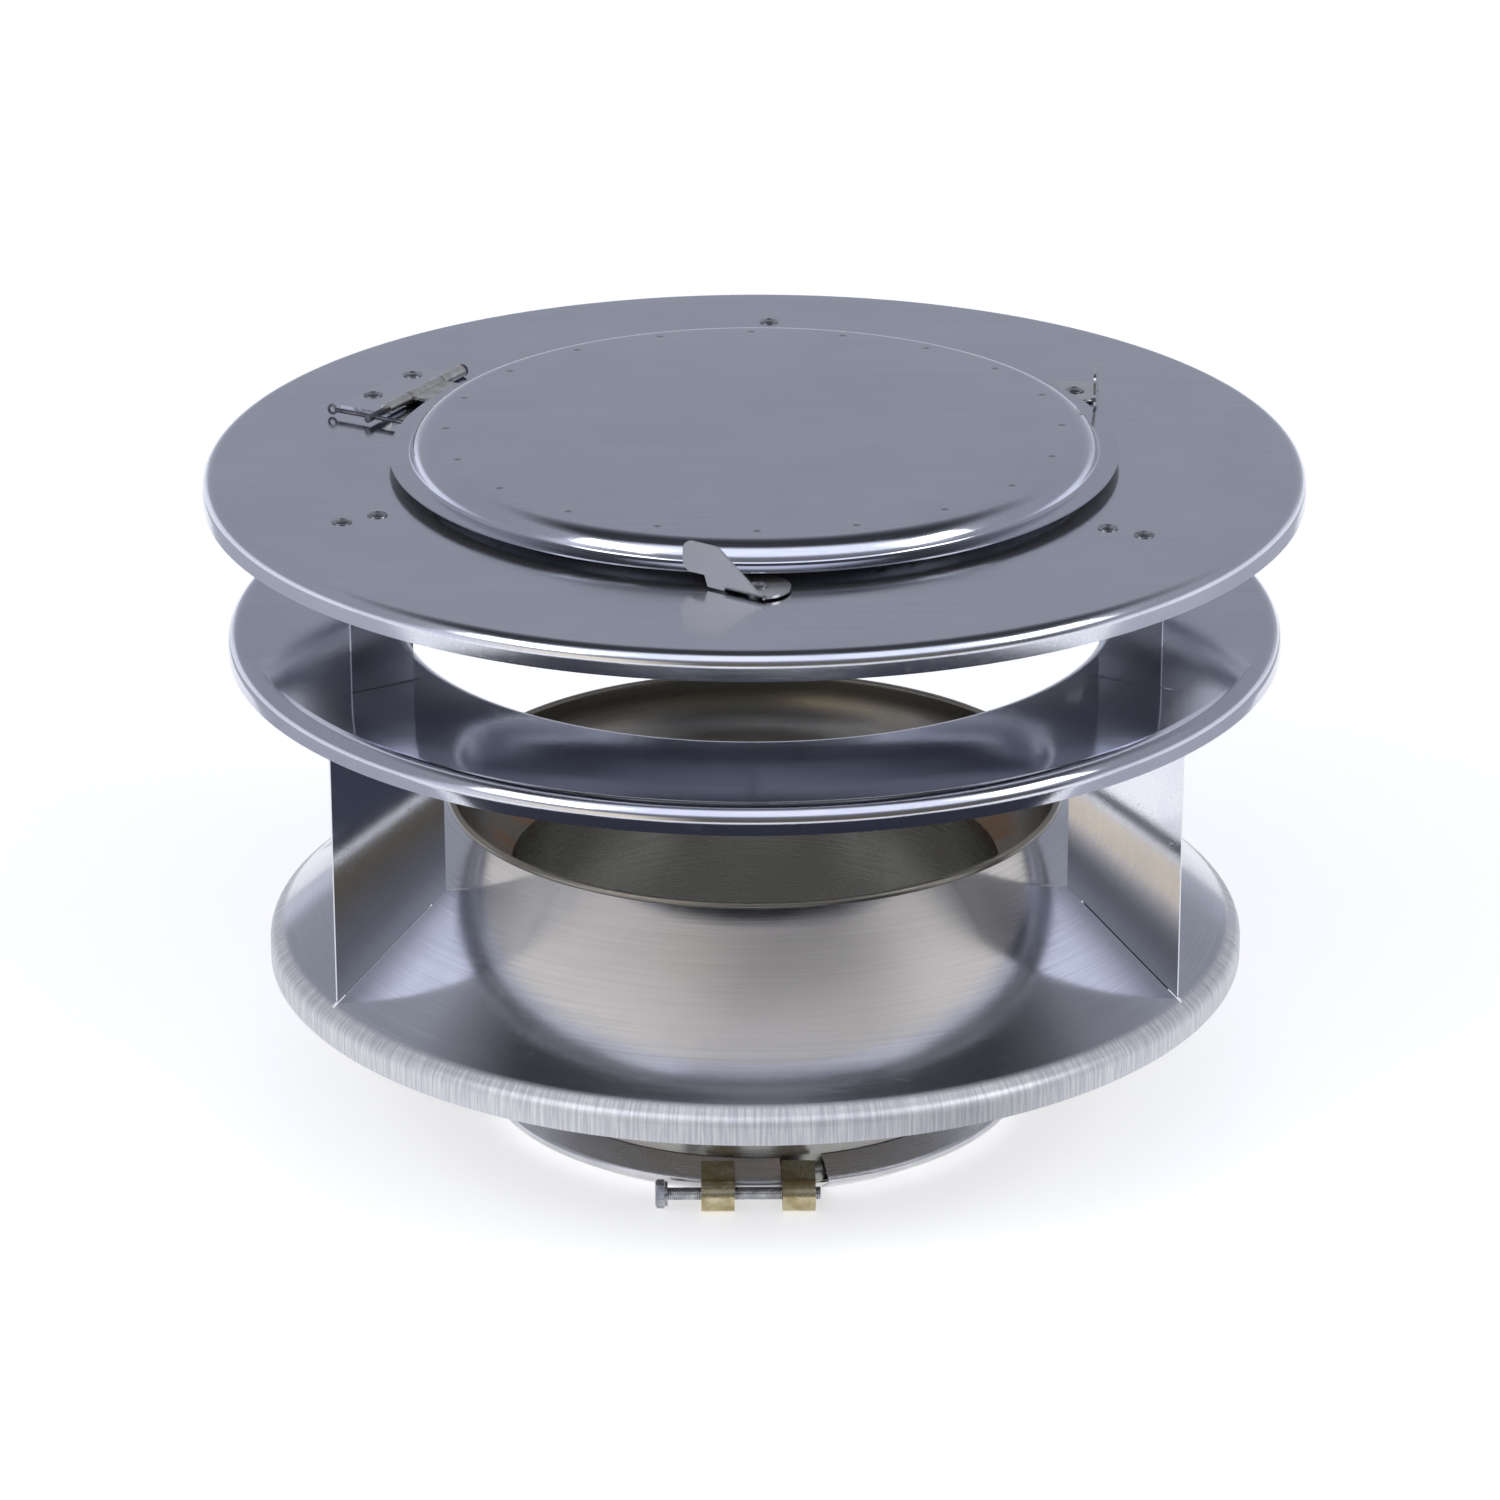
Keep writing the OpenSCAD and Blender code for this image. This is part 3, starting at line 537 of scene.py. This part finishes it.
# end: the foot of each flank, its height measured from the middle of the V; gap: half the opening
clampBand = {"z": 7.384, "end": (101.107, 6.956), "noseX": 108.8, "noseR": 2, "noseSteps": 10,
             "slope": 31, "gap": 4.897, "wall": 1}


def makeClampBand(s):
    line = [(s["end"][0], s["z"] + s["end"][1])]
    line += arcLine((s["noseX"], s["z"]), s["noseR"], 90 - s["slope"], s["slope"] - 90, s["noseSteps"])
    line += [(s["end"][0], s["z"] - s["end"][1])]
    obj = lathe("clamp_band_sheet", line, s["wall"], turn=360 - 2 * s["gap"], start=270 + s["gap"])
    dress(obj, bandFinish, "cap", "clamp_band")


makeBasePipe(basePipe)
makeThroat(throat)
print("pipe and throat made")
makeSkirt(skirt)
makeMiddleRing(middleRing)
print("skirt and middle ring made")
makeTopPlate(topPlate)
makeLidDome(lidDome)
makeLidHoop(lidHoop)
print("top plate and lid made")
makeClampBand(clampBand)
print("clamp band made")


# studio: a white floor, grey behind, dark overhead, a bright panel over the camera
# sky: degrees from the horizon behind the cap, over the top, to the horizon behind the camera
# the pairs are where a patch of the sky begins and where it is full, along one axis of the direction
studio = {"sky": [(0, 0.55), (6, 0.5), (10, 0.42), (20, 0.38), (45, 0.4), (62, 0.12), (75, 0.05),
                  (101, 0.06), (108, 0.6), (113, 1.3), (142, 1.3), (149, 0.4), (156, 0.2), (180, 0.2)],
          "most": 2, "tint": (0.93, 0.97, 1.13), "front": (1.16, 1.02, 0.8),
          "sides": 0.4, "horizon": 1.0, "right": 0.78, "left": -1.2, "wide": (0.35, 0.62),
          "below": (0.85, 0.7), "rear": (-0.5, -0.3), "flat": (0.14, 0.05),
          "room": 0.14, "window": 1.0, "roomFront": (-0.2, -0.45), "roomLow": (0.36, 0.2),
          "windowLeft": (-0.2, -0.45), "warmFront": (-0.4, -0.85), "warmLow": (0.35, 0.15),
          "glow": 0.55, "floor": "#F4F4F4", "floorRoughness": 0.8, "floorSize": 12}
white = (1, 1, 1)


def setStudio(s):
    world = bpy.data.worlds.new("studio")
    scene.world = world
    world.use_nodes = True
    tree = world.node_tree
    tree.nodes.clear()
    axes = parted(tree, addNode(tree, "ShaderNodeTexCoord").outputs["Generated"])
    over = calc(tree, "ARCTAN2", calc(tree, "MAXIMUM", axes[2], 0), axes[1])
    ramp = addNode(tree, "ShaderNodeValToRGB", {}, {"Fac": mapped(tree, over, 0, math.pi)})
    for degrees, grey in s["sky"]:
        if degrees in (0, 180):
            element = ramp.color_ramp.elements[0 if degrees == 0 else -1]
        else:
            element = ramp.color_ramp.elements.new(degrees / 180)
        element.color = (grey / s["most"],) * 3 + (1,)
    level = calc(tree, "MULTIPLY", ramp.outputs["Color"], s["most"])
    # the sides are paler than the back, and the left one reaches further in
    reach = calc(tree, "MAXIMUM", calc(tree, "MULTIPLY", axes[0], s["right"]),
                 calc(tree, "MULTIPLY", axes[0], s["left"]))
    wide = mapped(tree, reach, *s["wide"])
    behind = calc(tree, "MULTIPLY", mapped(tree, axes[2], *s["below"]), mapped(tree, axes[1], *s["rear"]))
    level = mixed(tree, calc(tree, "MULTIPLY", wide, behind), level, s["sides"])
    low = mapped(tree, axes[2], *s["flat"])
    level = mixed(tree, calc(tree, "MULTIPLY", wide, low), level, s["horizon"])
    # low in front the room is dark, with a bright window on the left
    low = calc(tree, "MULTIPLY", mapped(tree, axes[1], *s["roomFront"]),
               mapped(tree, axes[2], *s["roomLow"]))
    room = mapped(tree, axes[0], *s["windowLeft"], s["room"], s["window"])
    level = addNode(tree, "ShaderNodeMix", {}, {0: low, 2: level, 3: room}).outputs[0]
    # the horizon behind the camera is warm, everything else a little blue
    warm = calc(tree, "MULTIPLY", mapped(tree, axes[1], *s["warmFront"]),
                mapped(tree, axes[2], *s["warmLow"]))
    vectors = {"data_type": "VECTOR", 4: s["tint"], 5: s["front"]}
    cast = addNode(tree, "ShaderNodeMix", vectors, {0: warm}).outputs[1]
    sky = addNode(tree, "ShaderNodeVectorMath", {"operation": "SCALE"}, {0: cast, 3: level}).outputs[0]
    # the camera itself sees plain white behind the cap
    seen = addNode(tree, "ShaderNodeLightPath").outputs["Is Camera Ray"]
    vectors = {"data_type": "VECTOR", 5: white}
    backdrop = addNode(tree, "ShaderNodeMix", vectors, {0: seen, 4: sky}).outputs[1]
    dome = addNode(tree, "ShaderNodeBackground", {"Strength": 1.0}, {"Color": backdrop})
    addNode(tree, "ShaderNodeOutputWorld", {}, {"Surface": dome.outputs[0]})


def setFloor(s):
    deselectAll()
    bpy.ops.mesh.primitive_plane_add(size=s["floorSize"], location=(0, 0, 0))
    floor = bpy.context.active_object
    floor.name = "studio_floor"
    material, tree, shader, _ = startMaterial("white_floor", s["floor"], s["floorRoughness"], 0.0)
    rays = addNode(tree, "ShaderNodeLightPath").outputs
    seen = calc(tree, "MAXIMUM", rays["Is Glossy Ray"], rays["Is Transmission Ray"])
    seen = calc(tree, "MAXIMUM", rays["Is Camera Ray"], seen)
    shader.inputs["Emission Color"].default_value = white + (1,)
    tree.links.new(calc(tree, "MULTIPLY", seen, s["glow"]), shader.inputs["Emission Strength"])
    floor.data.materials.append(material)


# cards just over the floor, in metres: dark in front of the cap and behind it, grey at its sides, pale close
# to its front, and inside its pipe a dim card that is painted shade of the floor under the cap
cardHeight = 0.0012
cardLook = {"roughness": 0.9, "size": 60, "range": (0.3, 0.7), "shade": 0.1}
cards = [{"name": "front_card", "place": (0, -0.78), "size": (1.5, 0.76),
          "colour": "#2A2E40", "glow": 0},
         {"name": "near_card", "place": (-0.01, -0.31), "size": (0.28, 0.18),
          "colour": "#D2D4DC", "glow": 0.5},
         {"name": "right_card", "place": (0.305, -0.31), "size": (0.35, 0.18),
          "colour": "#3A3E50", "glow": 0},
         # painted shade: the floor under the cap, as the pipe's inside mirrors it
         {"name": "painted_shade_inside_card", "place": (0, 0), "size": (0.14, 0.14),
          "colour": "#2A2E40", "glow": 0.17},
         {"name": "back_card", "place": (0, 0.75), "size": (0.5, 0.7),
          "colour": "#2A2E40", "glow": 0},
         {"name": "left_side_card", "place": (-0.95, 0.3), "size": (0.8, 1.3),
          "colour": "#D8D9E0", "glow": 0.1},
         {"name": "right_side_card", "place": (0.95, 0.3), "size": (0.8, 1.3),
          "colour": "#D8D9E0", "glow": 0.1}]


def addCard(s):
    # only the metal sees the cards
    deselectAll()
    bpy.ops.mesh.primitive_plane_add(size=1, location=s["place"] + (cardHeight,))
    card = bpy.context.active_object
    card.name = s["name"]
    card.scale = s["size"] + (1,)
    bpy.ops.object.transform_apply(location=True, rotation=True, scale=True)
    material, tree, shader, place = startMaterial(s["name"], s["colour"], cardLook["roughness"], 0.0)
    weave = mapped(tree, noise(tree, place, cardLook["size"]), *cardLook["range"], 0, cardLook["shade"])
    tree.links.new(blend(tree, weave, s["colour"], "#000000"), shader.inputs["Base Color"])
    shader.inputs["Emission Color"].default_value = white + (1,)
    shader.inputs["Emission Strength"].default_value = s["glow"]
    card.data.materials.append(material)
    card.visible_camera = card.visible_diffuse = card.visible_shadow = False


# both lamps look at the middle of the cap
aim = (0, 0, 0.15)
softboxes = [{"name": "softbox_left", "place": (-1.6, -1.4, 1.8), "size": 1.2, "power": 12},
             {"name": "softbox_right", "place": (1.8, -0.9, 1.6), "size": 1.0, "power": 9}]


def addSoftbox(s):
    bpy.ops.object.light_add(type="AREA", location=s["place"])
    lamp = bpy.context.active_object
    lamp.name = s["name"]
    lamp.data.shape = "SQUARE"
    lamp.data.size = s["size"]
    lamp.data.energy = s["power"]
    lamp.rotation_euler = (Vector(aim) - Vector(s["place"])).to_track_quat("-Z", "Y").to_euler()


setStudio(studio)
setFloor(studio)
for card in cards:
    addCard(card)
for softbox in softboxes:
    addSoftbox(softbox)
print("studio set")
